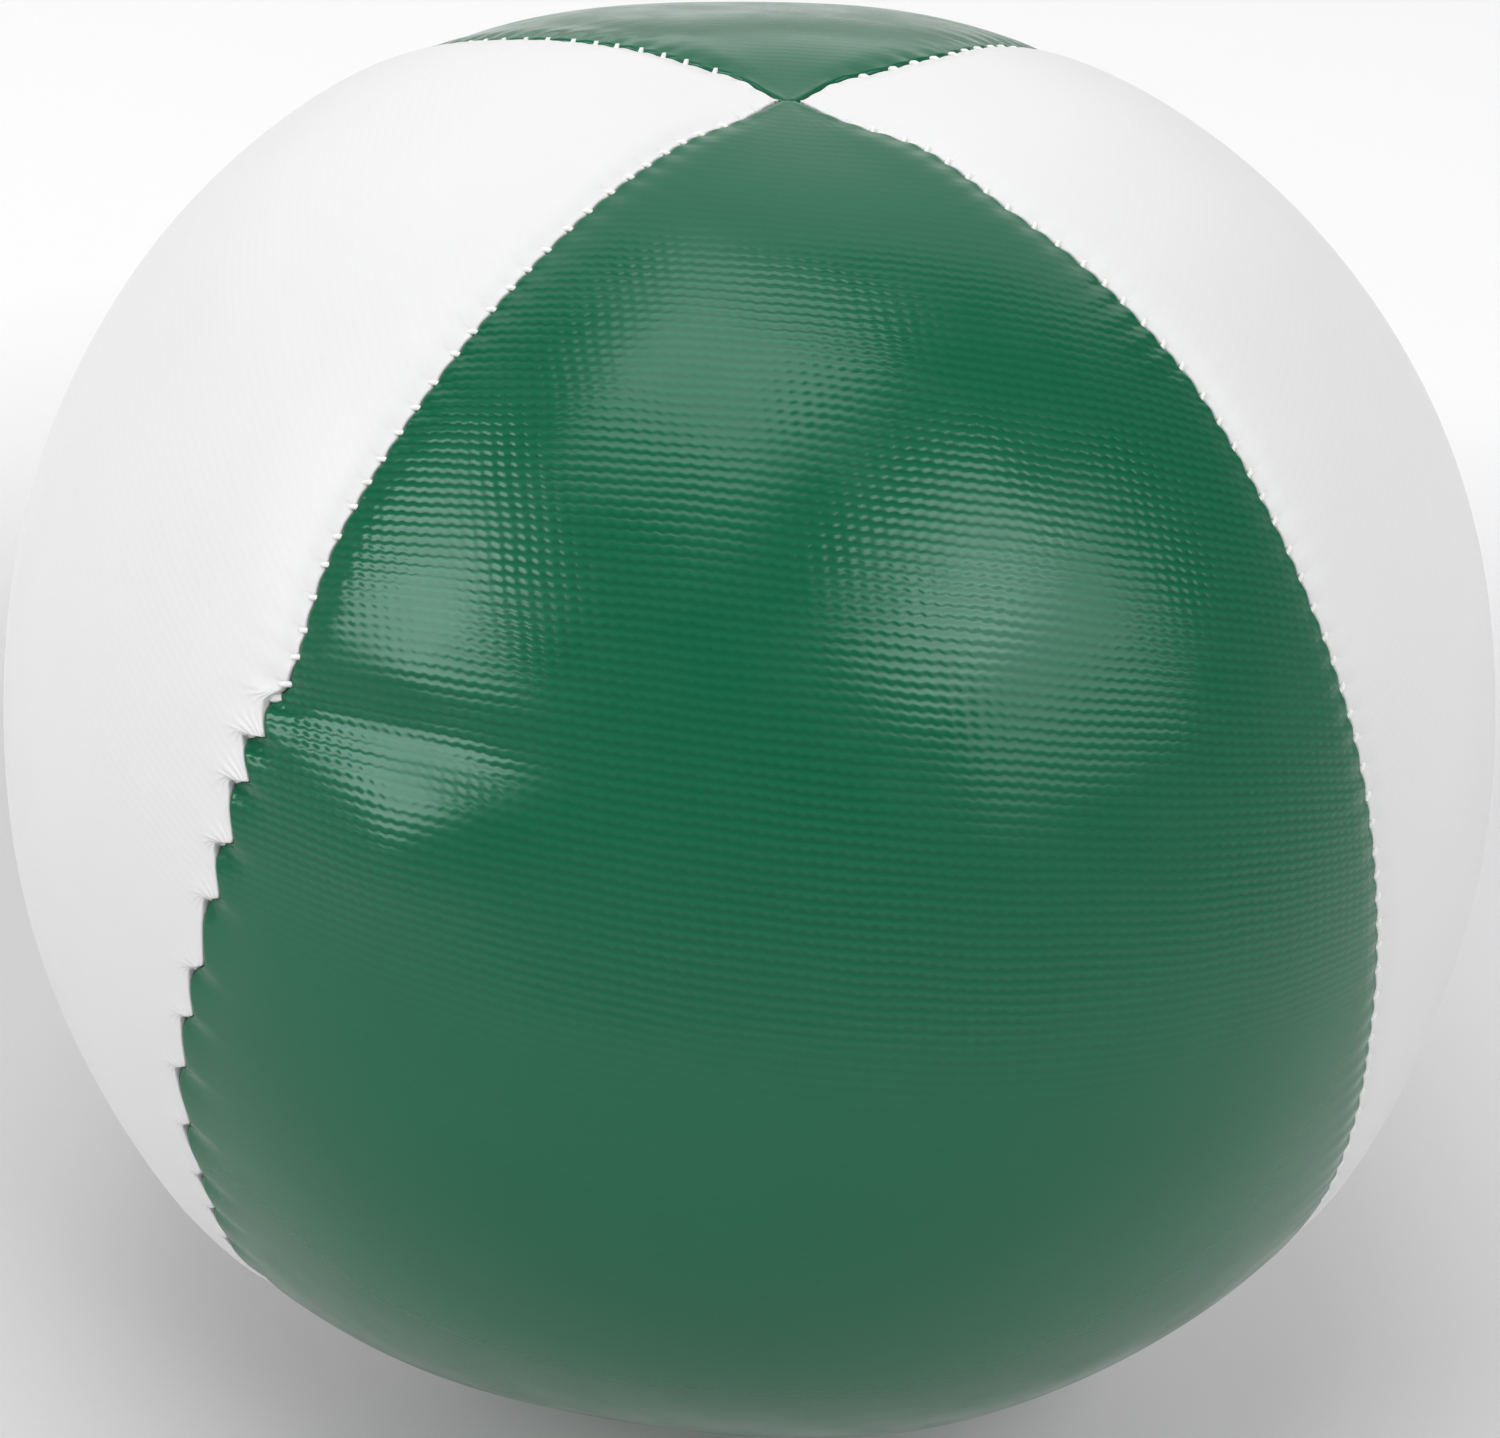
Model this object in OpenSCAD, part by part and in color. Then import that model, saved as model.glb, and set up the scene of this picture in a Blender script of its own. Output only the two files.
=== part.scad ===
// A juggling ball sewn from four panels of coated fabric and filled with seed.
// It stands on the small patch that its own weight flattens. The origin is the middle of that patch,
// +Z runs up the axis on which the four seams meet, and the front green panel faces -Y.

/* [Ball] */
// Width across the middles of two facing panels
ball_w = 67; // [60:0.5:74]
// Distance from the ball's axis out to the centre of each panel's round crown
crown_offset = 2.1; // [1.5:0.1:3]
// Distance from the axis to the edge of the flattened patch, at the middle of a panel
rest_r = 8; // [6.5:0.5:9]

/* [Panels] */
// Thickness of the coated fabric
fabric_t = 0.6; // [0.5:0.05:0.8]
// Width of the turned-in seam allowance, from the fold to the raw edge
allowance = 3.5; // [2.5:0.25:5]
// Gap left between two seam allowances that are sewn together
seam_gap = 0.1; // [0.06:0.02:0.2]

/* [Machine stitching] */
// Diameter of the sewing thread where it lies along a seam
thread_d = 0.3; // [0.2:0.02:0.4]
// Diameter of the same thread where it is drawn tight through the fabric
drawn_d = 0.24; // [0.14:0.02:0.28]
// Length of one stitch
stitch_l = 1.1; // [0.9:0.1:2.5]
// Depth of the stitch line below the fold
stitch_depth = 0.6; // [0.5:0.05:1]
// Distance from the ball's axis at which a row of stitches starts and ends
row_end = 2.4; // [2.2:0.1:4]
// Clearance between thread and fabric
thread_slack = 0.03; // [0.02:0.01:0.06]

/* [Closing stitches] */
// Height of the upper end of the opening above the ball's middle
opening_top = 15; // [8:0.5:20]
// Length of the opening along the seam
opening_l = 31; // [24:1:34]
// Diameter of the hand-sewing thread where it lies along the seam
hand_thread_d = 0.36; // [0.3:0.02:0.46]
// Length of one hand stitch
hand_stitch_l = 2.5; // [2:0.1:3.2]
// Diameter of the knot at each end of the hand-sewing thread
knot_d = 0.9; // [0.7:0.05:1.1]

/* [Filling] */
// Gap between the seed filling and the cover
fill_gap = 0.3; // [0.2:0.05:0.6]

/* [Hidden] */
$fn = 96;
thread_fn = 24;

green = [0.14, 0.40, 0.29];
white = [0.92, 0.92, 0.93];
thread_white = [0.97, 0.97, 0.95];
seed_gold = [0.86, 0.72, 0.42];

// The panels lie a quarter turn apart, so each seam is an eighth of a turn from two panels' middles.
half_panel_angle = 45;
right_angle = 0;
back_angle = 90;
left_angle = 180;
front_angle = 270;
back_right_seam = right_angle + half_panel_angle;
back_left_seam = back_angle + half_panel_angle;
front_left_seam = left_angle + half_panel_angle;
front_right_seam = front_angle + half_panel_angle;

// Each panel is part of a ball of its own, whose centre lies off the axis, so the seams are drawn in.
crown_r = ball_w/2 - crown_offset;
middle_z = sqrt(crown_r^2 - (rest_r - crown_offset)^2);

// A seam lies in an upright plane, on a circle about a point that is seam_x from the axis.
// Each panel's crown has its centre crown_w to the side of that plane.
seam_x = crown_offset*cos(half_panel_angle);
crown_w = crown_offset*sin(half_panel_angle);
edge_w = seam_gap/2;
inner_w = edge_w + fabric_t;

// Distance from a seam's own axis to the centre of a fold of radius f between a crown of radius r
// and a flat allowance that lies w from the seam's plane.
function fold_rho(r, f, w) = sqrt((r - f)^2 - (w + f - crown_w)^2);

// The fabric is creased flat on itself, so the fold's outer radius is its thickness.
groove_rho = fold_rho(crown_r, fabric_t, edge_w);
raw_edge_rho = groove_rho - allowance;
stitch_rho = groove_rho - stitch_depth;

// Angles along a seam are in degrees up from the ball's middle. Half a stitch is kept to a whole
// thousandth of a degree, so that one run of thread ends exactly where the next one starts.
function fine_deg(angle) = floor(angle*1000)/1000;
function arc_deg(length) = length/stitch_rho*180/PI;
row_deg = acos((row_end - seam_x)/stitch_rho);
stitch_count = floor(2*row_deg/arc_deg(stitch_l));
half_stitch_deg = fine_deg(row_deg/stitch_count);
stitch_deg = 2*half_stitch_deg;
machine_stitches = [for (i = [0:stitch_count]) (2*i - stitch_count)*half_stitch_deg];
stitches_per_run = 9;

opening_top_deg = asin(opening_top/stitch_rho);
hand_stitch_count = floor(opening_l/hand_stitch_l);
hand_stitches = [for (i = [0:hand_stitch_count]) fine_deg(opening_top_deg - i*arc_deg(hand_stitch_l))];
opening_end_deg = hand_stitches[hand_stitch_count];
upper_stitches = [for (a = machine_stitches) if (a > opening_top_deg + stitch_deg) a];
lower_stitches = [for (a = machine_stitches) if (a < opening_end_deg - stitch_deg) a];

needle_hole_d = thread_d + 2*thread_slack;
hand_hole_d = hand_thread_d + 2*thread_slack;
thread_w = inner_w + thread_slack + thread_d/2;
hand_thread_w = inner_w + thread_slack + hand_thread_d/2;
hand_drawn_d = hand_thread_d*drawn_d/thread_d;
hand_turn_deg = arc_deg(hand_thread_d/2);
knot_w = inner_w + thread_slack + knot_d/2;

// The filling stands clear of whatever lies furthest in from a seam's plane.
slot_w = inner_w + thread_slack + max(thread_d, hand_thread_d, knot_d) + fill_gap;
fill_fold_r = 1;
fill_core_r = sqrt(raw_edge_rho^2 - seam_x^2) - fill_gap;

// Puts children into a seam's own frame: X points out, Y up, and Z off the seam's plane into the panel
// on its clockwise side, with the origin in the middle of the seam's circle.
module at_seam(angle) {
    rotate([0, 0, angle]) translate([seam_x, 0, middle_z]) rotate([90, 0, 0]) children();
}

// Section of a panel across its seam: the crown of radius r, a fold of radius f and the flat allowance.
// X is the distance from the seam's axis, and Y the distance from the seam's plane.
module seam_section(r, f, w) {
    rho = fold_rho(r, f, w);
    tangent = atan2(w + f - crown_w, rho);
    reach = 2*r;
    intersection() {
        translate([0, crown_w]) circle(r);
        translate([0, crown_w])
            polygon([[0, 0], [reach*cos(tangent), reach*sin(tangent)], [reach, reach], [0, reach]]);
    }
    polygon([[0, crown_w], [rho, w + f], [rho, w], [0, w]]);
    translate([rho, w + f]) circle(f);
}

// Half of a dome: the space between a panel's middle and one seam, down to the height floor_z.
module half_dome(r, f, w, floor_z) {
    intersection() {
        at_seam(half_panel_angle) rotate_extrude() seam_section(r, f, w);
        translate([0, 0, floor_z]) cube(2*ball_w);
    }
}

module holes(angles, d) {
    depth = 3*fabric_t;
    for (a = angles)
        rotate([0, 0, a]) translate([stitch_rho, 0, inner_w - depth/2])
            cylinder(d = d, h = depth, $fn = thread_fn);
}

// Half of a panel, from its middle to the seam on its anticlockwise side, with that seam's holes.
module half_panel(opens) {
    difference() {
        half_dome(crown_r, fabric_t, edge_w, 0);
        intersection() {
            at_seam(half_panel_angle) translate([0, 0, crown_w]) sphere(crown_r - fabric_t);
            at_seam(half_panel_angle) translate([-ball_w, -ball_w, inner_w]) cube(2*ball_w);
            translate([-ball_w, -ball_w, fabric_t]) cube(2*ball_w);
        }
        at_seam(half_panel_angle) {
            translate([0, 0, crown_w]) sphere(raw_edge_rho);
            holes(opens ? concat(upper_stitches, lower_stitches) : machine_stitches, needle_hole_d);
            if (opens) holes(hand_stitches, hand_hole_d);
        }
    }
}

// A whole panel. One of its two seams may be the one with the opening.
module panel(angle, opens_anticlockwise = false, opens_clockwise = false) {
    rotate([0, 0, angle]) {
        half_panel(opens_anticlockwise);
        mirror([0, 1, 0]) half_panel(opens_clockwise);
    }
}

module front_green_panel() { color(green) panel(front_angle, opens_clockwise = true); }
module back_green_panel() { color(green) panel(back_angle); }
module left_white_panel() { color(white) panel(left_angle, opens_anticlockwise = true); }
module right_white_panel() { color(white) panel(right_angle); }

// A run of thread along a seam, w from its plane, between two angles.
module thread_run(from, to, w, d) {
    rotate_extrude(angle = to - from, start = from)
        translate([stitch_rho, w]) circle(d = d, $fn = thread_fn);
}

// Thread drawn through the fabric, between two distances from the seam's plane.
module thread_through(angle, from_w, to_w, d) {
    rotate([0, 0, angle]) translate([stitch_rho, 0, from_w])
        cylinder(d = d, h = to_w - from_w, $fn = thread_fn);
}

// One of a lockstitch's two threads: it lies along its own panel's allowance and dips at every stitch
// to meet the other thread at the seam's plane. It is built up in runs of a few stitches.
module lockstitch_thread(angles) {
    color(thread_white) for (first = [0:stitches_per_run:len(angles) - 1]) {
        last = min(first + stitches_per_run, len(angles)) - 1;
        union() {
            thread_run(angles[first] - half_stitch_deg, angles[last] + half_stitch_deg, thread_w, thread_d);
            for (i = [first:last]) thread_through(angles[i], 0, thread_w, drawn_d);
        }
    }
}

module needle_thread(seam, angles) { at_seam(seam) lockstitch_thread(angles); }
module bobbin_thread(seam, angles) { at_seam(seam) mirror([0, 0, 1]) lockstitch_thread(angles); }

module front_right_needle_thread() { needle_thread(front_right_seam, machine_stitches); }
module front_right_bobbin_thread() { bobbin_thread(front_right_seam, machine_stitches); }
module back_right_needle_thread() { needle_thread(back_right_seam, machine_stitches); }
module back_right_bobbin_thread() { bobbin_thread(back_right_seam, machine_stitches); }
module back_left_needle_thread() { needle_thread(back_left_seam, machine_stitches); }
module back_left_bobbin_thread() { bobbin_thread(back_left_seam, machine_stitches); }
module front_left_upper_needle_thread() { needle_thread(front_left_seam, upper_stitches); }
module front_left_upper_bobbin_thread() { bobbin_thread(front_left_seam, upper_stitches); }
module front_left_lower_needle_thread() { needle_thread(front_left_seam, lower_stitches); }
module front_left_lower_bobbin_thread() { bobbin_thread(front_left_seam, lower_stitches); }

module knot(angle, side) {
    rotate([0, 0, angle]) translate([stitch_rho, 0, side*knot_w]) sphere(d = knot_d, $fn = thread_fn);
}

// The hand-sewn ladder stitch: the thread crosses the seam at every stitch and runs along
// one panel's allowance and then the other's in turn, with a knot at both ends.
module closing_thread() {
    color(thread_white) at_seam(front_left_seam) {
        for (a = hand_stitches) thread_through(a, -hand_thread_w, hand_thread_w, hand_drawn_d);
        for (i = [1:hand_stitch_count]) {
            side = i % 2 == 0 ? 1 : -1;
            thread_run(hand_stitches[i] - hand_turn_deg, hand_stitches[i - 1] + hand_turn_deg,
                       side*hand_thread_w, hand_thread_d);
        }
        knot(hand_stitches[0], 1);
        knot(opening_end_deg, hand_stitch_count % 2 == 0 ? -1 : 1);
    }
}

// The seed, taken as one body: it fills each panel's dome and closes in under the seam allowances.
module seed_filling() {
    color(seed_gold) {
        for (angle = [right_angle, back_angle, left_angle, front_angle])
            rotate([0, 0, angle]) for (flip = [0, 1]) mirror([0, flip, 0])
                half_dome(crown_r - fabric_t - fill_gap, fill_fold_r, slot_w, fabric_t + fill_gap);
        translate([0, 0, middle_z]) sphere(fill_core_r);
    }
}

front_green_panel();
back_green_panel();
left_white_panel();
right_white_panel();
front_right_needle_thread();
front_right_bobbin_thread();
back_right_needle_thread();
back_right_bobbin_thread();
back_left_needle_thread();
back_left_bobbin_thread();
front_left_upper_needle_thread();
front_left_upper_bobbin_thread();
front_left_lower_needle_thread();
front_left_lower_bobbin_thread();
closing_thread();
seed_filling();
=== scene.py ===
"""The looks of a sewn juggling ball: four panels of coated fabric, machine-sewn, filled and closed by hand."""
import math

import bmesh
import bpy
import numpy as np
from mathutils import Matrix, Vector


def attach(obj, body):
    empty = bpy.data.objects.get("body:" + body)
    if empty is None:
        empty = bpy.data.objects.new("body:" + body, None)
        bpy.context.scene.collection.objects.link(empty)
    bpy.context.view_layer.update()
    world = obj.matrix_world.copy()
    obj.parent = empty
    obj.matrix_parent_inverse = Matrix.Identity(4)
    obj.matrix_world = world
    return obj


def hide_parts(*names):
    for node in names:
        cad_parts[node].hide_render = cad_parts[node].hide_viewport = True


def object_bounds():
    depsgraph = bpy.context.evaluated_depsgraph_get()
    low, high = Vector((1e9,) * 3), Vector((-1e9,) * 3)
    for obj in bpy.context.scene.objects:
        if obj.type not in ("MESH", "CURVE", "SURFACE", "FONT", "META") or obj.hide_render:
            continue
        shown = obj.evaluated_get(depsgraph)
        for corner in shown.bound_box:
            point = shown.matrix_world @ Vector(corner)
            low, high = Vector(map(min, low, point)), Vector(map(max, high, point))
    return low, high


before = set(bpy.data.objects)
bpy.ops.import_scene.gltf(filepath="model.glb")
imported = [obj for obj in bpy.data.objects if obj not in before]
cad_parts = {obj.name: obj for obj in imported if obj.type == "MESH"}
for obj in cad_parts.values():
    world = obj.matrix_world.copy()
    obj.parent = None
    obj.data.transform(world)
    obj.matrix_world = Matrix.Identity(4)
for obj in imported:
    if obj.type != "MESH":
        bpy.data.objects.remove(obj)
cad_low, cad_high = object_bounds()

# Green panels
# Two gores of vinyl-coated cloth, front and back. Each was cut flat, sewn to its neighbours inside out and
# turned, so its edges fold in to a seam allowance, the stitches draw the seams in and the crown swells out.
mm = 0.001
ball_r = (cad_high[0] - cad_low[0]) / 2
crown_offset = 2.1 * mm
crown_r = ball_r - crown_offset
middle = np.array([0, 0, cad_high[2] - crown_r])
half_panel = math.radians(45)
seam_x = crown_offset * math.cos(half_panel)
fabric_t = 0.6 * mm
edge_gap = 0.02 * mm
green_fold_r = 0.15 * mm
white_fold_r = 0.10 * mm
allowance = 3.5 * mm

# The seed presses the cloth out between its seams: a coarse cover, a little slack at first and pinned where it
# is sewn and where it rests, is blown up by cloth simulation at a hundred times its size.
slack = 0.3 * mm
most_swell = 0.5 * mm
cover_scale = 100
cover_columns = 96
cover_rows = 64
cover_frames = 20
cover_pressure = 4
cover_stiffness = 40
cover_bending = 5
slack_power = 3
rest_rows = 4
pole_rows = 1

# At the poles the four tips sink in, more gently at the front than at the back, and lean to one side. The two
# green tips are joined by a narrow neck.
pole_dimple = 0.6 * mm
pole_dimple_r = 6.5 * mm
pole_lopsided = 0.35
pole_lean = np.array([-0.5, -0.6, 0]) * mm
pole_lean_r = 6.0 * mm
pole_neck = 0.34 * mm
pole_neck_r = 2.0 * mm

# Where the seed has packed or shifted: azimuth and elevation of the place, its spread, and its rise in mm.
swells = (
    (94.7, 64.5, 15, -1.1), (154.7, 43.8, 22, 0.5), (186.8, 4.4, 16, -0.35), (221.1, -28.5, 15, 0.5),
    (259.1, -39.3, 18, -0.95), (315.8, -21.1, 15, 0.8), (344.9, 11.9, 14, -0.25),
)

# The seams, by the angle at which each stands round the ball, and the side on which its green panel lies:
# 1 where the green panel is the clockwise one, and -1 where it is the anticlockwise one.
front_right, back_right, back_left, front_left = (math.radians(a) for a in (315, 45, 135, 225))
green_side = {front_right: 1, back_right: -1, back_left: 1, front_left: -1}

# How far the seams stray anticlockwise from their planes, in mm, at angles up from the ball's middle.
seam_drift = {
    front_left: ((-60, -40, -24, -20, -16, -10, -2, 2, 6, 10, 14, 18, 22, 27, 29,
                  31, 34, 38, 42, 50, 66, 74, 78, 82, 88),
                 (0, -0.8, -1.25, -1.15, -1.0, -1.15, -1.05, -0.65, -0.35, -0.05, 0.15, 0.2, 0.15, 0.05, 0.15,
                  0.4, 0.4, -0.1, -0.35, -0.4, -0.45, -0.5, -0.5, -0.55, -0.15)),
    front_right: ((-60, -40, -20, -13, -6, 2, 14, 26, 38, 46, 56, 66, 70, 74, 82, 88),
                  (0, 0.5, 1.6, 1.25, 0.9, 0.4, 0.25, 0.4, 0.45, 0.55, 0.8, 0.45, 0.2, 0, 0.6, 0.1)),
    back_left: ((0, 30, 50, 60, 68, 76, 84, 88), (0, 1.0, 2.0, 2.6, 2.6, 1.9, 0.8, 0)),
    back_right: ((50, 60, 68, 72, 78, 84, 88), (0, -0.2, -0.5, -0.9, -1.3, -0.8, 0)),
}
drift_reach = 5.0 * mm
drift_angles = np.arange(-100, 100, 0.25)
drift_window = np.hanning(21) / np.hanning(21).sum()
smooth_drift = {seam: np.convolve(np.interp(drift_angles, *drift), drift_window, "same")
                for seam, drift in seam_drift.items()}

# Machine stitches pull the edge in at every needle hole, and it bulges between them. The edges roll over
# into the seam, the white ones a hair lower than the green ones. The feed is a little uneven: by how many
# stitches, how often along the seam, and from where.
stitch_l = 1.1 * mm
stitch_rho = 30.19 * mm
uneven_feed = ((0.10, 23, 0), (0.05, 61, 1))
scallop = 0.04 * mm
scallop_mean = 0.64
scallop_reach = 1.2 * mm
pucker = 0.04 * mm
pucker_reach = 0.8 * mm
green_roll = 0.12 * mm
white_roll = 0.20 * mm
roll_reach = 0.7 * mm
roll_from_pole = 4.0 * mm

# The opening in the front-left seam is closed by hand. Its wide, uneven stitches draw the edges into teeth:
# at each stitch the white edge laps over the green one, and the first of them also pulls a valley across.
hand_angles = (30.0, 26.9, 23.5, 18.7, 14.3, 8.1, 3.5, -2.0, -8.3, -14.0, -18.3, -23.0, -28.0)
tooth_sizes = (0.7, 1.1, 1.05, 0.95, 0.8, 0.7, 0.7, 0.65, 0.6, 0.55, 0.5, 0.5, 0.5)
tooth_flank = 0.82
tooth_bend = 1.5
tooth_turns = np.arange(0, 1, 0.005)
tooth_window = np.hanning(33) / np.hanning(33).sum()
tooth_profile = np.where(tooth_turns < tooth_flank, 0.5 - (tooth_turns / tooth_flank) ** tooth_bend,
                         (tooth_turns - tooth_flank) / (1 - tooth_flank) - 0.5)
tooth_profile = np.convolve(np.tile(tooth_profile, 3), tooth_window, "same")[len(tooth_turns):-len(tooth_turns)]
tooth_reach = 1.0 * mm
lap_lift = 0.14 * mm
lap_turn = 0.88
lap_spread = 0.18
lap_dip = 0.30 * mm
dip_below = 0.2
dip_above = 0.1
lobe_swell = 0.12 * mm
valley_depth = 0.45 * mm
valley_at = (-17, 20.8)
valley_spread = (6.5, 1.8)
valley_slope = 0.22
bulge_height = 0.4 * mm
bulge_at = (-16, 15.6)
bulge_spread = (4.2, 3.2)

# The ribs of the cloth lie partly level round the ball, and slope a little down to the right.
weave_levelled = 0.2
weave_slope = 0.1

# Each panel is a grid from pole to pole, closer towards its edges. Near the poles its folds, allowances and
# stitches take no more than a share of the room that is left.
rows = 512
row_span = math.radians(89.8)
crown_columns = 34
fold_columns = 5
allowance_columns = 2
half_columns = crown_columns + fold_columns + allowance_columns
crown_grading = 1.7
tip_fold = 0.5
tip_gap = 0.125
tip_allowance = 0.5
tip_scallop = 0.12
tip_pucker = 0.08
shell_share = 0.9
tip_thickness = 0.05
thinning_steps = 5


def crown(longitude, latitude):
    """How far a panel's crown stands from the ball's middle, at a longitude from the panel's own middle."""
    facing = crown_offset * np.cos(latitude) * np.cos(longitude)
    return facing + np.sqrt(facing ** 2 + crown_r ** 2 - crown_offset ** 2)


def off_panel_middle(longitude):
    """A longitude round the ball, counted from the middle of the panel that it lies on."""
    return np.mod(longitude + half_panel, 2 * half_panel) - half_panel


def swell_cover():
    """How far the cover ends up above its crown, in rows from pole to pole and columns from one seam round."""
    bm = bmesh.new()
    bmesh.ops.create_grid(bm, x_segments=cover_columns, y_segments=cover_rows, size=1)
    bmesh.ops.translate(bm, vec=(1, 1, 0), verts=bm.verts)
    grid = np.array([v.co for v in bm.verts])
    column = np.rint(grid[:, 0] / 2 * cover_columns).astype(int)
    row = np.rint(grid[:, 1] / 2 * cover_rows).astype(int)
    longitude = column / cover_columns * 2 * math.pi - half_panel
    latitude = (row / cover_rows - 0.5) * math.pi
    off = off_panel_middle(longitude)
    slackness = slack * (1 - np.abs(off / half_panel) ** slack_power) * np.sqrt(np.maximum(np.cos(latitude), 0))
    start = crown(off, latitude) - slackness
    start = np.stack([np.cos(latitude) * np.cos(longitude), np.cos(latitude) * np.sin(longitude),
                      np.sin(latitude)], axis=1) * start[:, None] * cover_scale
    for v, place in zip(bm.verts, start):
        v.co = place
    bmesh.ops.remove_doubles(bm, verts=bm.verts, dist=0.01 * mm * cover_scale)
    bmesh.ops.recalc_face_normals(bm, faces=bm.faces)
    mesh = bpy.data.meshes.new("cover")
    bm.to_mesh(mesh)
    bm.free()
    cover = bpy.data.objects.new("cover", mesh)
    bpy.context.scene.collection.objects.link(cover)

    start = np.array([v.co for v in mesh.vertices])
    radius = np.linalg.norm(start, axis=1)
    longitude = np.arctan2(start[:, 1], start[:, 0])
    column = np.rint((longitude + half_panel) / (2 * math.pi) * cover_columns).astype(int) % cover_columns
    row = np.rint((np.arcsin(start[:, 2] / radius) / math.pi + 0.5) * cover_rows).astype(int)
    sewn = (column % (cover_columns // 4) == 0) | (row <= rest_rows) | (row >= cover_rows - pole_rows)
    cover.vertex_groups.new(name="sewn").add(np.nonzero(sewn)[0].tolist(), 1, "REPLACE")
    swelling = cover.modifiers.new("swelling", "CLOTH")
    swelling.settings.vertex_group_mass = "sewn"
    swelling.settings.use_pressure = True
    swelling.settings.uniform_pressure_force = cover_pressure
    swelling.settings.tension_stiffness = cover_stiffness
    swelling.settings.compression_stiffness = cover_stiffness
    swelling.settings.shear_stiffness = cover_stiffness
    swelling.settings.bending_stiffness = cover_bending
    swelling.settings.effector_weights.gravity = 0
    swelling.point_cache.frame_end = cover_frames
    for step in range(1, cover_frames + 1):
        bpy.context.scene.frame_set(step)
    blown = cover.evaluated_get(bpy.context.evaluated_depsgraph_get()).data
    swell = np.linalg.norm([v.co for v in blown.vertices], axis=1) - radius
    latitude = (row / cover_rows - 0.5) * math.pi
    rise = np.zeros((cover_rows + 1, cover_columns))
    rise[row, column] = radius / cover_scale + np.minimum(swell / cover_scale, most_swell)
    rise[row, column] -= crown(off_panel_middle(longitude), latitude)
    bpy.data.objects.remove(cover)
    bpy.data.meshes.remove(mesh)
    bpy.context.scene.frame_set(1)
    return rise


cover_rise = swell_cover()


def spline(steps):
    """The weight of a point of the cover that lies some steps of its grid away."""
    steps = np.abs(steps)
    return np.where(steps < 1, 2 / 3 - steps ** 2 + steps ** 3 / 2, np.maximum(2 - steps, 0) ** 3 / 6)


def stitch_phase(angle):
    """Machine stitches counted up from the ball's middle."""
    count = angle * stitch_rho / stitch_l
    for stitches, waves, start in uneven_feed:
        count = count + stitches * np.sin(waves * angle + start)
    return count


def closing_phase(angle):
    """Hand stitches counted down from the top of the opening."""
    return np.interp(np.degrees(angle), hand_angles[::-1], np.arange(len(hand_angles))[::-1])


def tooth_size(phase):
    """How large the tooth is at a count of hand stitches, in mm."""
    return np.interp(phase, np.arange(len(tooth_sizes)), tooth_sizes)


def inside_opening(angle):
    """1 where the seam is closed by hand, fading to 0 beyond the last hand stitches."""
    angle = np.degrees(angle)
    return np.clip(hand_angles[0] + 1 - angle, 0, 1) * np.clip(angle - hand_angles[-1] + 1, 0, 1)


def seam_drifts(seam, angle):
    """How far a seam strays anticlockwise from its plane, at an angle up from the ball's middle."""
    return np.interp(np.degrees(angle), drift_angles, smooth_drift[seam]) * mm


def seam_scallops(seam, angle):
    """How far its stitches then push the seam anticlockwise."""
    into_white = scallop * (np.abs(np.sin(np.pi * stitch_phase(angle))) - scallop_mean)
    if seam == front_left:
        closed = inside_opening(angle)
        phase = closing_phase(angle)
        teeth = tooth_size(phase) * mm * np.interp(np.mod(phase, 1), tooth_turns, tooth_profile, period=1)
        into_white = into_white * (1 - closed) + teeth * closed
    from_pole = np.abs(np.cos(angle)) * stitch_rho
    return green_side[seam] * into_white * np.clip(from_pole / pole_neck_r - 0.5, 0, 1)


def settled(points):
    """How far points, given from the ball's middle, are moved out or in by the filling and the poles."""
    from_axis = np.hypot(points[:, 0], points[:, 1])
    unit = points / np.linalg.norm(points, axis=1)[:, None]
    dimple_r = pole_dimple_r * (1 - pole_lopsided * points[:, 1] / np.maximum(from_axis, edge_gap))
    rise = -pole_dimple * np.exp(-(from_axis / dimple_r) ** 2)
    for azimuth, elevation, spread, height in swells:
        azimuth, elevation = math.radians(azimuth), math.radians(elevation)
        towards = np.array([math.cos(azimuth) * math.cos(elevation), math.sin(azimuth) * math.cos(elevation),
                            math.sin(elevation)])
        away = np.degrees(np.arccos(np.clip(unit @ towards, -1, 1)))
        rise += height * mm * np.exp(-(away / spread) ** 2)
    column = np.mod((np.arctan2(points[:, 1], points[:, 0]) + half_panel) / (2 * math.pi), 1) * cover_columns
    row = (np.arcsin(unit[:, 2].clip(-1, 1)) / math.pi + 0.5) * cover_rows
    for i in range(-1, 3):
        for j in range(-1, 3):
            at_row, at_column = np.floor(row).astype(int) + i, np.floor(column).astype(int) + j
            share = spline(row - at_row) * spline(column - at_column)
            rise += share * cover_rise[at_row.clip(0, cover_rows), np.mod(at_column, cover_columns)]
    lean = np.exp(-(from_axis / pole_lean_r) ** 2) * (points[:, 2] > 0)
    return unit * rise[:, None] + lean[:, None] * pole_lean


def flat_cloth(points):
    """Where points of a panel that faces +X lay on the flat cloth, in mm across and along its weave."""
    across = ball_r * np.arcsin(np.clip(points[:, 1] / np.linalg.norm(points, axis=1), -1, 1))
    along = ball_r * np.arctan2(points[:, 2], points[:, 0])
    return np.stack([across, along], axis=1) / mm


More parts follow.
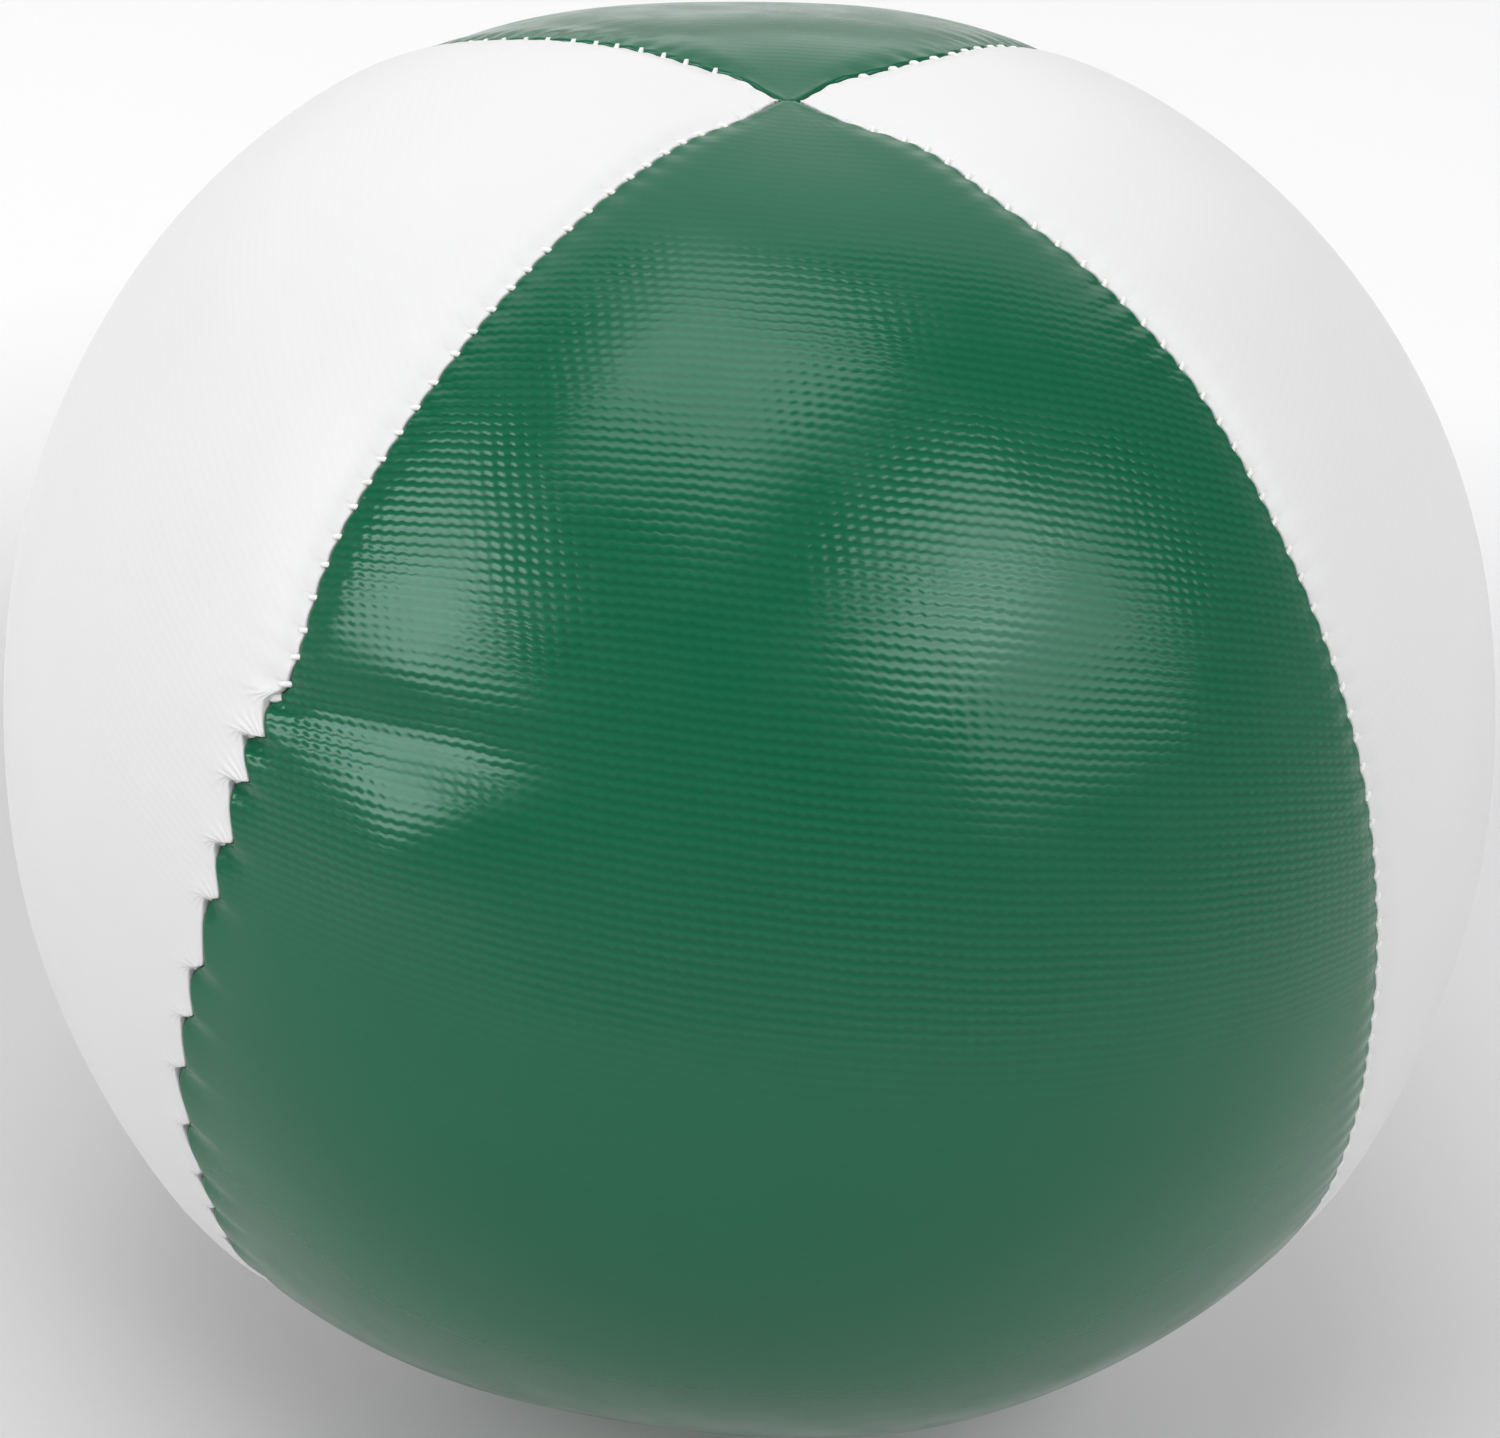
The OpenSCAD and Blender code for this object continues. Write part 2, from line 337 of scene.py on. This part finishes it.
def panel_points(across, along, turn, is_green):
    """Points of a panel that faces the angle turn, and each point's place by its seam and hand stitches.

    across and along run from -1 to 1 over the grid: from the clockwise seam to the anticlockwise one,
    and from the lower pole to the upper one.
    """
    column = np.abs(across) * half_columns
    side = np.where(across < 0, -1, 1)
    latitude = along * row_span
    seam_rho = crown(half_panel, latitude) * np.cos(latitude)
    fold = np.minimum(green_fold_r if is_green else white_fold_r, tip_fold * seam_rho * math.sin(half_panel))
    gap = np.minimum(edge_gap, tip_gap * fold)
    over_crown = np.clip(column / crown_columns, 0, 1)
    over_fold = np.clip((column - crown_columns) / fold_columns, 0, 1) * np.pi / 2
    over_allowance = np.clip((column - crown_columns - fold_columns) / allowance_columns, 0, 1)
    crown_edge = half_panel - np.arcsin((fold + gap) / seam_rho)
    longitude = (1 - (1 - over_crown) ** crown_grading) * crown_edge
    folded = half_panel - np.arcsin((gap + fold * (1 - np.sin(over_fold))) / seam_rho)
    longitude = np.where(over_fold > 0, folded, longitude)
    reach = crown(longitude, latitude)
    from_seam = reach * np.cos(latitude) * np.sin(half_panel - longitude)
    longitude = longitude * side
    points = np.stack([np.cos(latitude) * np.cos(longitude), np.cos(latitude) * np.sin(longitude),
                       np.sin(latitude)], axis=1) * reach[:, None]
    outward = points - np.array([crown_offset, 0, 0])
    outward /= np.linalg.norm(outward, axis=1)[:, None]

    # The fold and the allowance, then the stitches of the seam on either side.
    angle = np.arctan2(crown(half_panel, latitude) * np.sin(latitude), seam_rho - seam_x)
    rise = -fold * (1 - np.cos(over_fold)) - np.minimum(allowance, tip_allowance * seam_rho) * over_allowance
    shift = np.zeros_like(points)
    beside = np.stack([stitch_phase(angle) * stitch_l, from_seam], axis=1) / mm
    closing = np.zeros((len(points), 2))
    near_scallop = np.minimum(scallop_reach, tip_scallop * seam_rho)
    near_pucker = np.minimum(pucker_reach, tip_pucker * seam_rho)
    for way in (1, -1):
        mine = side == way
        seam = min(green_side, key=lambda s: abs(math.remainder(s - turn - way * half_panel, 2 * math.pi)))
        normal = np.array([-math.sin(way * half_panel), math.cos(way * half_panel), 0])
        stray = seam_drifts(seam, angle) * np.exp(-(from_seam / drift_reach) ** 2)
        stray += seam_scallops(seam, angle) * np.exp(-(from_seam / near_scallop) ** 2)
        share = (1 + side * way * np.abs(longitude) / half_panel) / 2
        shift += (stray * share)[:, None] * normal
        closed = inside_opening(angle) if seam == front_left else np.zeros(len(points))
        drawn = -pucker * np.cos(2 * np.pi * stitch_phase(angle)) * (1 - closed)
        drawn *= np.exp(-from_seam / near_pucker)
        roll = (green_roll if is_green else white_roll) * np.minimum(seam_rho / roll_from_pole, 1)
        drawn -= roll * (1 - closed) * np.exp(-(from_seam / roll_reach) ** 2)
        phase = closing_phase(angle)
        part = np.mod(phase, 1)
        closing += np.where(mine, [phase, closed], 0).T
        if is_green:
            below, above = np.exp(-(part / dip_below) ** 2), np.exp(-((1 - part) / dip_above) ** 2)
            lobes = lobe_swell * np.sin(np.pi * part) - lap_dip * np.maximum(below, above)
        else:
            from_lap = np.mod(part - lap_turn + 0.5, 1) - 0.5
            lobes = lap_lift * np.exp(-(from_lap / lap_spread) ** 2)
        drawn += lobes * tooth_size(phase) * closed * np.exp(-(from_seam / tooth_reach) ** 2)
        rise += np.where(mine, drawn, 0)
    if turn == front_turn:
        lay = flat_cloth(points)
        valley, bulge = lay - valley_at, lay - bulge_at
        valley[:, 1] += valley_slope * valley[:, 0]
        rise -= valley_depth * np.exp(-((valley / valley_spread) ** 2).sum(axis=1))
        rise += bulge_height * np.exp(-((bulge / bulge_spread) ** 2).sum(axis=1))

    from_axis = np.hypot(points[:, 0], points[:, 1])
    points = points + outward * rise[:, None] + shift
    points[:, 0] += (-1 if is_green else 1) * pole_neck * np.exp(-(from_axis / pole_neck_r) ** 2)
    if is_green:
        points[:, 0] = np.maximum(points[:, 0], gap)
    points = points @ np.array(Matrix.Rotation(turn, 3, "Z")).T
    return points + settled(points) + middle, beside, closing


def sew_panel(name, node, turn, is_green, material):
    bm = bmesh.new()
    bmesh.ops.create_grid(bm, x_segments=2 * half_columns, y_segments=rows, size=1)
    mesh = bpy.data.meshes.new(name)
    bm.to_mesh(mesh)
    bm.free()
    grid = np.empty(len(mesh.vertices) * 3)
    mesh.vertices.foreach_get("co", grid)
    grid = grid.reshape(-1, 3)
    points, beside, closing = panel_points(grid[:, 0], grid[:, 1], turn, is_green)
    points[:, 2] = np.maximum(points[:, 2], cad_low[2])
    mesh.vertices.foreach_set("co", points.ravel())
    corner = np.empty(len(mesh.loops), dtype=np.int32)
    mesh.loops.foreach_get("vertex_index", corner)
    lay = flat_cloth((points - middle) @ np.array(Matrix.Rotation(-turn, 3, "Z")).T)
    level = np.arcsin((points[:, 2] - middle[2]) / np.linalg.norm(points - middle, axis=1)) * ball_r / mm
    lay[:, 1] += weave_levelled * (level - lay[:, 1]) + weave_slope * lay[:, 0]
    mesh.uv_layers.new(name="weave").uv.foreach_set("vector", lay[corner].ravel())
    mesh.uv_layers.new(name="seam").uv.foreach_set("vector", beside[corner].ravel())
    mesh.uv_layers.new(name="closing").uv.foreach_set("vector", closing[corner].ravel())
    mesh.shade_smooth()
    mesh.materials.append(material)
    panel = bpy.data.objects.new(name, mesh)
    bpy.context.scene.collection.objects.link(panel)
    bulk = panel.vertex_groups.new(name="bulk")
    from_axis = np.hypot(points[:, 0], points[:, 1])
    for step in range(1, thinning_steps + 1):
        ring = np.nonzero(from_axis > (step - 0.5) * mm)[0]
        bulk.add(ring.tolist(), step / thinning_steps, "REPLACE")
    thickness = panel.modifiers.new("fabric_thickness", "SOLIDIFY")
    thickness.thickness = shell_share * fabric_t
    thickness.offset = -1
    thickness.vertex_group = bulk.name
    thickness.thickness_vertex_group = tip_thickness
    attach(panel, "root")
    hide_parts(node)


def new_material(name, roughness):
    material = bpy.data.materials.new(name)
    material.use_nodes = True
    nodes = material.node_tree.nodes
    shader = nodes["Principled BSDF"]
    shader.inputs["Roughness"].default_value = roughness
    return material, nodes, material.node_tree.links, shader


def coated_fabric(name, colour, shade, sheen, roughness, gloss, rib_depth, painted_groove_shade, crease_depth):
    """Vinyl over a woven backing whose ribs and cross threads show through the coat.

    Lengths on the cloth and beside its seams are in mm here. The groove shade argument sets how much shade is
    painted into the grooves between the ribs, and how much light onto the tops of the ribs.
    """
    rib = 0.42
    rib_waver = 0.3
    rib_ripple = 0.07
    cross_thread = 0.52
    cross_skew = 0.08
    cross_height = 0.25
    band_foot, band_top = (6, 13), (36, 44)
    rib_below, rib_above = 0.1, 0.15
    patch_edges, patch_heights = (0.35, 0.65), (0.7, 1.2)
    grain_height = 0.4
    crease_width, crease_reach = (0.02, 0.14), (0.1, 0.7)
    hand_stitch = 2.6
    fan_place = 0.6
    fan_rays = 15.0
    fan_height = 0.45
    fan_hollow = 0.1
    fan_shrinks, fan_reach = (1.5, 3.5), (2.0, 1.2)
    worn_edges = (0.3, 0.7)
    glossier, duller = 0.04, 0.05
    material, nodes, links, shader = new_material(name, roughness)
    shader.inputs["Specular IOR Level"].default_value = gloss
    shader.inputs["Specular Tint"].default_value = sheen

    def calc(operation, *values):
        node = nodes.new("ShaderNodeMath")
        node.operation = operation
        for socket, value in zip(node.inputs, values):
            if isinstance(value, (int, float)):
                socket.default_value = value
            else:
                links.new(value, socket)
        return node.outputs[0]

    def map_range(value, low, high, to_low, to_high):
        node = nodes.new("ShaderNodeMapRange")
        node.interpolation_type = "SMOOTHSTEP"
        for socket, number in zip(node.inputs[1:5], (low, high, to_low, to_high)):
            socket.default_value = number
        links.new(value, node.inputs["Value"])
        return node.outputs[0]

    def map_of(layer):
        node = nodes.new("ShaderNodeUVMap")
        node.uv_map = layer
        split = nodes.new("ShaderNodeSeparateXYZ")
        links.new(node.outputs["UV"], split.inputs[0])
        return node.outputs["UV"], split.outputs["X"], split.outputs["Y"]

    cloth, cloth_across, cloth_along = map_of("weave")
    _, seam_along, seam_off = map_of("seam")
    _, hand_phase, hand_sewn = map_of("closing")

    def noise(scale, detail):
        node = nodes.new("ShaderNodeTexNoise")
        node.inputs["Scale"].default_value = scale
        node.inputs["Detail"].default_value = detail
        links.new(cloth, node.inputs["Vector"])
        return node.outputs["Fac"]

    # The weave: ribs across the panel, broken by the cross threads. It stands out in a band above the panel's
    # middle, and is pressed flatter below that band and above it.
    wobble = calc("MULTIPLY", calc("SUBTRACT", noise(scale=0.25, detail=2.0), 0.5), rib_waver)
    rib_phase = calc("DIVIDE", calc("ADD", cloth_along, wobble), rib)
    cross_phase = calc("ADD", calc("DIVIDE", calc("ADD", cloth_across, wobble), cross_thread),
                       calc("MULTIPLY", rib_phase, cross_skew))
    cross_wave = calc("COSINE", calc("MULTIPLY", cross_phase, 2 * math.pi))
    wavy_rib = calc("ADD", rib_phase, calc("MULTIPLY", cross_wave, rib_ripple))
    rib_wave = calc("COSINE", calc("MULTIPLY", wavy_rib, 2 * math.pi))
    weave = calc("ADD", rib_wave, calc("MULTIPLY", cross_wave, cross_height))
    pressed = calc("MULTIPLY", map_range(cloth_along, *band_foot, rib_below, 1),
                   map_range(cloth_along, *band_top, 1, rib_above))
    patchy = map_range(noise(scale=0.1, detail=1.0), *patch_edges, *patch_heights)
    weave = calc("MULTIPLY", weave, calc("MULTIPLY", pressed, patchy))
    height = calc("MULTIPLY", weave, rib_depth)
    grain = calc("MULTIPLY", noise(scale=5.0, detail=3.0), grain_height * rib_depth)

    # The creases that each machine stitch pulls in the fabric, and the fan of them at each hand stitch.
    from_stitch = calc("PINGPONG", calc("DIVIDE", seam_along, stitch_l / mm), 0.5)
    crease = calc("MULTIPLY", map_range(from_stitch, *crease_width, 1, 0),
                  map_range(seam_off, *crease_reach, 1, 0))
    crease = calc("MULTIPLY", crease, calc("SUBTRACT", 1, hand_sewn))
    from_fan = calc("SUBTRACT", calc("FRACT", calc("ADD", hand_phase, fan_place)), 0.5)
    up_seam = calc("MULTIPLY", from_fan, -hand_stitch)
    fan_r = calc("SQRT", calc("ADD", calc("MULTIPLY", up_seam, up_seam), calc("MULTIPLY", seam_off, seam_off)))
    fan = calc("SINE", calc("MULTIPLY", calc("ARCTAN2", seam_off, up_seam), fan_rays))
    fan_size = calc("DIVIDE", fan_r, map_range(hand_phase, *fan_shrinks, *fan_reach))
    fan = calc("MULTIPLY", calc("MULTIPLY", fan, hand_sewn), map_range(fan_size, fan_hollow, 1, fan_height, 0))
    creases = calc("MULTIPLY", calc("SUBTRACT", fan, crease), crease_depth)
    bump = nodes.new("ShaderNodeBump")
    bump.inputs["Distance"].default_value = 1.0
    links.new(calc("ADD", calc("ADD", height, grain), creases), bump.inputs["Height"])
    links.new(bump.outputs["Normal"], shader.inputs["Normal"])

    # Base colour: a random mottle between the two tones, plus painted shade in the weave's grooves and painted
    # light on its ribs, which may run past both tones.
    mottle_and_painted_shade = nodes.new("ShaderNodeMix")
    mottle_and_painted_shade.data_type = "RGBA"
    mottle_and_painted_shade.clamp_factor = False
    mottle_and_painted_shade.inputs["A"].default_value = shade
    mottle_and_painted_shade.inputs["B"].default_value = colour
    mottle = noise(scale=0.15, detail=4.0)
    links.new(calc("ADD", mottle, calc("MULTIPLY", weave, painted_groove_shade)), mottle_and_painted_shade.inputs["Factor"])
    links.new(mottle_and_painted_shade.outputs["Result"], shader.inputs["Base Color"])
    worn = map_range(noise(scale=0.3, detail=3.0), *worn_edges, roughness - glossier, roughness + duller)
    links.new(worn, shader.inputs["Roughness"])
    return material


front_turn = math.radians(270)
back_turn = math.radians(90)
green = (0.0088, 0.109, 0.052, 1.0)
green_shade = (0.0074, 0.100, 0.047, 1.0)
green_sheen = (0.74, 1.0, 0.95, 1.0)
# The green coat's weave gets painted shade in its grooves and painted light on its ribs.
green_vinyl = coated_fabric("green_vinyl", green, green_shade, green_sheen, roughness=0.19, gloss=0.335,
                            rib_depth=0.006 * mm, painted_groove_shade=1.2, crease_depth=0.003 * mm)
sew_panel("front_panel_green", "front_green_panel", front_turn, True, green_vinyl)
sew_panel("back_panel_green", "back_green_panel", back_turn, True, green_vinyl)

# White panels
# The two gores between the green ones, of the same cloth with a smoother white coat.
# They are cut, folded and sewn in just as the green panels are.
left_turn = math.radians(180)
right_turn = math.radians(0)
white = (0.71, 0.71, 0.71, 1.0)
white_shade = (0.68, 0.68, 0.685, 1.0)
white_sheen = (1.0, 1.0, 1.0, 1.0)
# The white coat's weave gets only a trace of painted shade in its grooves and painted light on its ribs.
white_vinyl = coated_fabric("white_vinyl", white, white_shade, white_sheen, roughness=0.45, gloss=0.3,
                            rib_depth=0.0015 * mm, painted_groove_shade=0.1, crease_depth=0.032 * mm)
sew_panel("left_panel_white", "left_white_panel", left_turn, False, white_vinyl)
sew_panel("right_panel_white", "right_white_panel", right_turn, False, white_vinyl)

# Machine stitching
# White polyester thread in a lockstitch. Turning the cover strains the seam open a little, so each stitch
# shows as a short white tick that bridges the two folded edges.
thread_d = 0.23 * mm
tick_r = 0.26 * mm
tick_depth = 0.45 * mm
tick_slant = math.radians(25)
tick_into_white = 0.10 * mm
tick_sides = 6
tick_steps = 6
last_stitch = math.radians(86)
fibres_in_a_metre = 9000
fibre_depth = 0.03 * mm
thread_white = (0.80, 0.80, 0.78, 1.0)
thread_material, nodes, links, shader = new_material("sewing_thread", roughness=0.6)
shader.inputs["Base Color"].default_value = thread_white
thread_place = nodes.new("ShaderNodeTexCoord")
fibres = nodes.new("ShaderNodeTexNoise")
fibres.inputs["Scale"].default_value = fibres_in_a_metre
fibre_bump = nodes.new("ShaderNodeBump")
fibre_bump.inputs["Distance"].default_value = fibre_depth
links.new(thread_place.outputs["Object"], fibres.inputs["Vector"])
links.new(fibres.outputs["Fac"], fibre_bump.inputs["Height"])
links.new(fibre_bump.outputs["Normal"], shader.inputs["Normal"])


def place_on_seam(seam, angle, depth, into_white):
    """Frame of a stitch: X across the seam, Y along it and Z outwards, depth below the panels' crown."""
    out = Vector((math.cos(seam), math.sin(seam), 0))
    across = Vector((-math.sin(seam), math.cos(seam), 0))
    lift = out * math.cos(angle) + Vector((0, 0, 1)) * math.sin(angle)
    seam_r = math.sqrt(crown_r ** 2 - seam_x ** 2)
    stray = seam_drifts(seam, angle) + float(seam_scallops(seam, np.array([angle]))[0])
    stray += green_side[seam] * into_white
    where = np.array(out * seam_x + lift * (seam_r - depth) + across * stray)
    where = where + settled(where[None])[0] + middle
    axes = Matrix((across, lift.cross(across), lift)).transposed()
    return Matrix.Translation(where) @ axes.to_4x4() @ Matrix.Rotation(tick_slant, 4, "Z")


def sew_stitches(name, seam, angles, nodes, diameter, depth, into_white):
    """A row of stitches at angles up a seam, each an arch of thread, in place of the CAD's nodes of thread."""
    bm = bmesh.new()
    for angle in angles:
        ring = bmesh.ops.create_circle(bm, segments=tick_sides, radius=diameter / 2,
                                       matrix=Matrix.Translation((tick_r, 0, 0)))["verts"]
        edges = list({e for v in ring for e in v.link_edges})
        bmesh.ops.spin(bm, geom=ring + edges, cent=(0, 0, 0), axis=(0, -1, 0), angle=math.pi, steps=tick_steps)
        made = [v for v in bm.verts if not v.tag]
        bmesh.ops.transform(bm, matrix=place_on_seam(seam, angle, depth, into_white), verts=made)
        for v in made:
            v.tag = True
    bmesh.ops.holes_fill(bm, edges=[e for e in bm.edges if e.is_boundary])
    bmesh.ops.recalc_face_normals(bm, faces=bm.faces)
    for v in bm.verts:
        v.co.z = max(v.co.z, cad_low[2])
    mesh = bpy.data.meshes.new(name)
    bm.to_mesh(mesh)
    bm.free()
    mesh.shade_smooth()
    mesh.materials.append(thread_material)
    stitches = bpy.data.objects.new(name, mesh)
    bpy.context.scene.collection.objects.link(stitches)
    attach(stitches, "root")
    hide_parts(*nodes)


stitch_angle = stitch_l / stitch_rho
seam_angles = np.linspace(-last_stitch, last_stitch, 2000)
stitch_numbers = np.arange(math.ceil(stitch_phase(seam_angles[0])), stitch_phase(seam_angles[-1]))
all_stitches = np.interp(stitch_numbers, stitch_phase(seam_angles), seam_angles).tolist()
upper_stitches = [a for a in all_stitches if a > math.radians(hand_angles[0]) + stitch_angle / 2]
lower_stitches = [a for a in all_stitches if a < math.radians(hand_angles[-1]) - stitch_angle / 2]
for row_name, seam, angles, into_white in (
        ("front_right", front_right, all_stitches, tick_into_white),
        ("back_right", back_right, all_stitches, tick_into_white),
        ("back_left", back_left, all_stitches, -tick_into_white),
        ("front_left_upper", front_left, upper_stitches, tick_into_white),
        ("front_left_lower", front_left, lower_stitches, tick_into_white)):
    row_threads = [f"{row_name}_{kind}_thread" for kind in ("needle", "bobbin")]
    sew_stitches(f"{row_name}_stitching", seam, angles, row_threads, thread_d, tick_depth, into_white)

# Seed filling
# Loose millet-sized seed, poured in through the opening of one seam and held by nothing but the cover.
# It takes the shape of the CAD's body of seed, settled in the same places as the cover round it.
seed_d = 2.0 * mm
seed_shrink = 0.985
seed_gold = (0.62, 0.42, 0.14, 1.0)
seed_husk = (0.38, 0.22, 0.06, 1.0)
seed_material, nodes, links, shader = new_material("millet_seed", roughness=0.55)
seed_place = nodes.new("ShaderNodeTexCoord")
grains = nodes.new("ShaderNodeTexVoronoi")
grains.inputs["Scale"].default_value = 1 / seed_d
husks = nodes.new("ShaderNodeMix")
husks.data_type = "RGBA"
husks.inputs["A"].default_value = seed_husk
husks.inputs["B"].default_value = seed_gold
grain_bump = nodes.new("ShaderNodeBump")
grain_bump.invert = True
grain_bump.inputs["Distance"].default_value = seed_d / 2
links.new(seed_place.outputs["Object"], grains.inputs["Vector"])
links.new(grains.outputs["Color"], husks.inputs["Factor"])
links.new(grains.outputs["Distance"], grain_bump.inputs["Height"])
links.new(husks.outputs["Result"], shader.inputs["Base Color"])
links.new(grain_bump.outputs["Normal"], shader.inputs["Normal"])
seed_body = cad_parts["seed_filling"]
bm = bmesh.new()
bm.from_mesh(seed_body.data)
bmesh.ops.remove_doubles(bm, verts=bm.verts, dist=0.001 * mm)
bmesh.ops.transform(bm, matrix=seed_body.matrix_world, verts=bm.verts)
from_middle = np.array([v.co for v in bm.verts]) - middle
for v, moved in zip(bm.verts, from_middle * seed_shrink + settled(from_middle) + middle):
    v.co = moved
seed_mesh = bpy.data.meshes.new("seed")
bm.to_mesh(seed_mesh)
bm.free()
seed_mesh.shade_smooth()
seed_mesh.materials.append(seed_material)
seed = bpy.data.objects.new("seed", seed_mesh)
bpy.context.scene.collection.objects.link(seed)
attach(seed, "root")
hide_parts("seed_filling")

# Closing thread
# A doubled hand-sewing thread that laces the last opening shut with ladder stitches, pulled so tight
# that it sinks between the teeth of the two edges.
hand_thread_d = 0.36 * mm
hand_depth = 0.62 * mm
sew_stitches("closing_stitches", front_left, [math.radians(a) for a in hand_angles], ["closing_thread"],
             hand_thread_d, hand_depth, into_white=0)

# Floor, light and camera
# A pale table painted darker round the ball as painted shade, soft boxes at the sides, overhead and behind,
# and the photograph's own viewpoint.
view_azimuth = math.radians(-6.9)
view_elevation = math.radians(37)
view_roll = math.radians(4.8)
view_distance = 4.25 * ball_r
frame_width_px = 1500
frame_height_px = 1438
ball_px = 756.4
ball_centre_px = (749.1, 709.6)
floor_r = 0.7
# The table's paleness rises from its first value near the ball to its second further out: painted shade round
# the ball's foot.
floor_near, floor_far = 1.2 * ball_r, 3 * ball_r
floor_pale_in_painted_shade, floor_far_pale = 0.62, 0.82
horizon_z, zenith_z = 0.1, 0.5
horizon_light, zenith_light = 0.55, 0.06

floor_mesh = bpy.data.meshes.new("table")
bm = bmesh.new()
bmesh.ops.create_circle(bm, cap_ends=True, segments=128, radius=floor_r)
bm.to_mesh(floor_mesh)
bm.free()
floor = bpy.data.objects.new("table", floor_mesh)
bpy.context.scene.collection.objects.link(floor)
floor_material, nodes, links, shader = new_material("table_with_painted_shade", roughness=0.8)
shader.inputs["Specular IOR Level"].default_value = 0.1
floor_place = nodes.new("ShaderNodeTexCoord")
distance = nodes.new("ShaderNodeVectorMath")
distance.operation = "LENGTH"
# The table's colour is darker near the ball: painted shade round its foot.
painted_floor_shade = nodes.new("ShaderNodeMapRange")
for socket, number in zip(painted_floor_shade.inputs[1:5], (floor_near, floor_far, floor_pale_in_painted_shade, floor_far_pale)):
    socket.default_value = number
links.new(floor_place.outputs["Object"], distance.inputs[0])
links.new(distance.outputs["Value"], painted_floor_shade.inputs["Value"])
links.new(painted_floor_shade.outputs[0], shader.inputs["Base Color"])
floor_mesh.materials.append(floor_material)

to_camera = Vector((math.sin(view_azimuth) * math.cos(view_elevation),
                    -math.cos(view_azimuth) * math.cos(view_elevation), math.sin(view_elevation)))
level_right = Vector((0, 0, 1)).cross(to_camera).normalized()
level_up = to_camera.cross(level_right)
right = level_right * math.cos(view_roll) + level_up * math.sin(view_roll)
up = level_up * math.cos(view_roll) - level_right * math.sin(view_roll)
camera_data = bpy.data.cameras.new("camera")
camera_data.sensor_width = 36
focal_px = ball_px * math.sqrt((view_distance / ball_r) ** 2 - 1)
camera_data.lens = focal_px / frame_width_px * camera_data.sensor_width
camera_data.shift_x = (frame_width_px / 2 - ball_centre_px[0]) / frame_width_px
camera_data.shift_y = (ball_centre_px[1] - frame_height_px / 2) / frame_width_px
camera_data.clip_start = 0.01
camera = bpy.data.objects.new("camera", camera_data)
bpy.context.scene.collection.objects.link(camera)
centre = Vector(middle)
camera.matrix_world = Matrix.Translation(centre + to_camera * view_distance) @ Matrix(
    (right, up, to_camera)).transposed().to_4x4()
bpy.context.scene.camera = camera


def soft_box(name, direction, distance, width, height, radiance, turn=0):
    light = bpy.data.lights.new(name, "AREA")
    light.shape = "RECTANGLE"
    light.size = width
    light.size_y = height
    light.energy = radiance * math.pi * width * height
    lamp = bpy.data.objects.new(name, light)
    bpy.context.scene.collection.objects.link(lamp)
    direction = direction.normalized()
    lamp.location = centre + direction * distance
    facing = direction.to_track_quat("Z", "Y").to_matrix() @ Matrix.Rotation(math.radians(turn), 3, "Z")
    lamp.rotation_euler = facing.to_euler()


soft_box("left_soft_box", to_camera * 0.600 - right * 0.750 + up * 0.276,
         distance=0.7, width=0.39, height=0.30, radiance=6.6, turn=-20)
soft_box("right_soft_box", to_camera * 0.800 + right * 0.470 + up * 0.375,
         distance=0.7, width=0.38, height=0.22, radiance=5.1, turn=10)
soft_box("right_wide_soft_box", to_camera * 0.684 + right * 0.708 + up * 0.210,
         distance=0.8, width=0.56, height=0.36, radiance=2.9)
soft_box("ceiling_soft_box", Vector((-0.12, 0.095, 0.99)), distance=0.8, width=0.54, height=0.44, radiance=3.5)
soft_box("backdrop_soft_box", Vector((0, 0.82, 0.57)), distance=0.9, width=1.6, height=0.9, radiance=0.95)
world = bpy.data.worlds.new("studio")
world.use_nodes = True
nodes, links = world.node_tree.nodes, world.node_tree.links
sky = nodes.new("ShaderNodeTexCoord")
sky_split = nodes.new("ShaderNodeSeparateXYZ")
sky_fade = nodes.new("ShaderNodeMapRange")
for socket, number in zip(sky_fade.inputs[1:5], (horizon_z, zenith_z, horizon_light, zenith_light)):
    socket.default_value = number
links.new(sky.outputs["Generated"], sky_split.inputs[0])
links.new(sky_split.outputs["Z"], sky_fade.inputs["Value"])
links.new(sky_fade.outputs[0], nodes["Background"].inputs["Strength"])
nodes["Background"].inputs["Color"].default_value = (1, 1, 1, 1)
bpy.context.scene.world = world
bpy.context.scene.view_settings.view_transform = "Standard"
